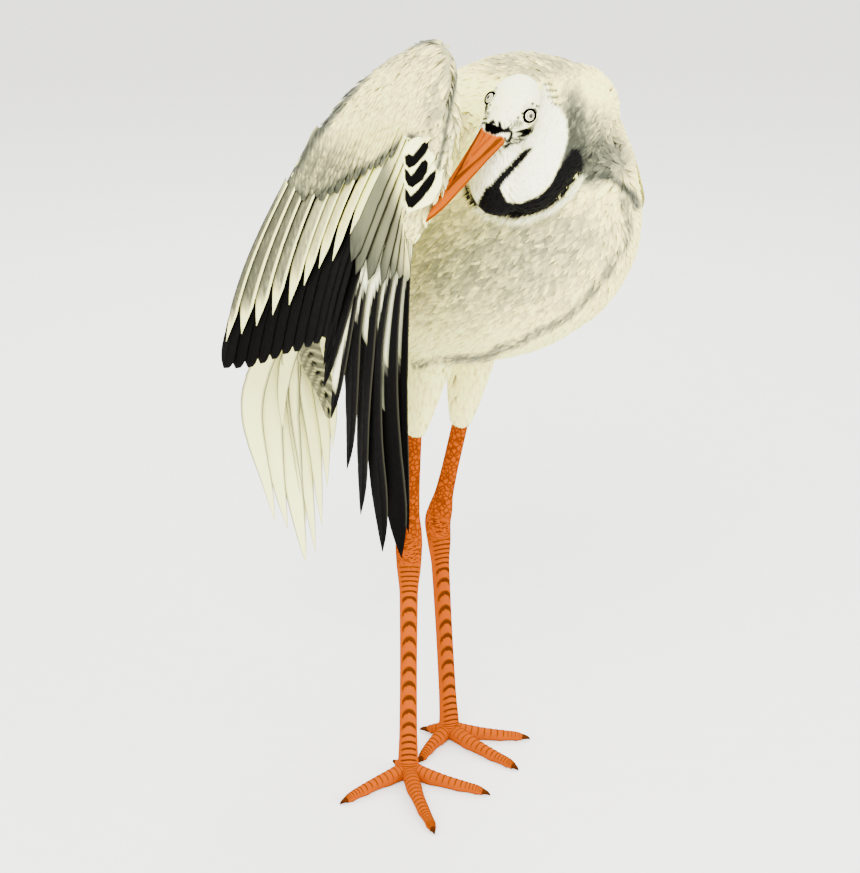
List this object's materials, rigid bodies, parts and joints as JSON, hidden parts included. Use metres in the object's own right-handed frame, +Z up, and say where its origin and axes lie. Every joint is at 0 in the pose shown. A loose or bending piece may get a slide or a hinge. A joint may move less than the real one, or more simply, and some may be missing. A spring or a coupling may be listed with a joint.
{
  "type": "white stork",
  "caption": "Life-size still model of a white stork preening its lifted right wing, standing on both feet with the neck folded back and the tail hanging.",
  "frame": {"origin": "floor level under the middle of the bird's whole outline", "axes": "+Z up; the bird's chest faces -Y; +X is the bird's own left"},
  "size_m": [0.3426, 0.4268, 0.7561],
  "materials": {
    "white_plumage": "soft matt feathers, cream white with grey-olive mottling",
    "wing_plumage": "matt feathers, cream and grey coverts with black flight feathers",
    "bill_horn": "smooth orange horn with darker grooves",
    "eye": "wet gloss, pale iris round a dark pupil",
    "leg_skin": "orange scaled skin, brownish between the scales",
    "claw_horn": "dark brown horn"
  },
  "bodies": {
    "root": {"torso": "white_plumage", "neck_lower": "white_plumage", "neck_upper": "white_plumage", "head": "white_plumage", "bill_upper": "bill_horn", "bill_lower": "bill_horn", "eye_right": "eye", "eye_left": "eye", "wing_right": "wing_plumage", "wing_left": "wing_plumage", "tail": "white_plumage", "thigh_right": "white_plumage", "thigh_left": "white_plumage", "shank_right": "leg_skin", "shank_left": "leg_skin", "tarsus_right": "leg_skin", "tarsus_left": "leg_skin", "foot_right": "leg_skin", "foot_left": "leg_skin", "claw_right_outer": "claw_horn", "claw_right_middle": "claw_horn", "claw_right_inner": "claw_horn", "claw_right_hind": "claw_horn", "claw_left_outer": "claw_horn", "claw_left_middle": "claw_horn", "claw_left_inner": "claw_horn", "claw_left_hind": "claw_horn"}
  },
  "joints": []
}
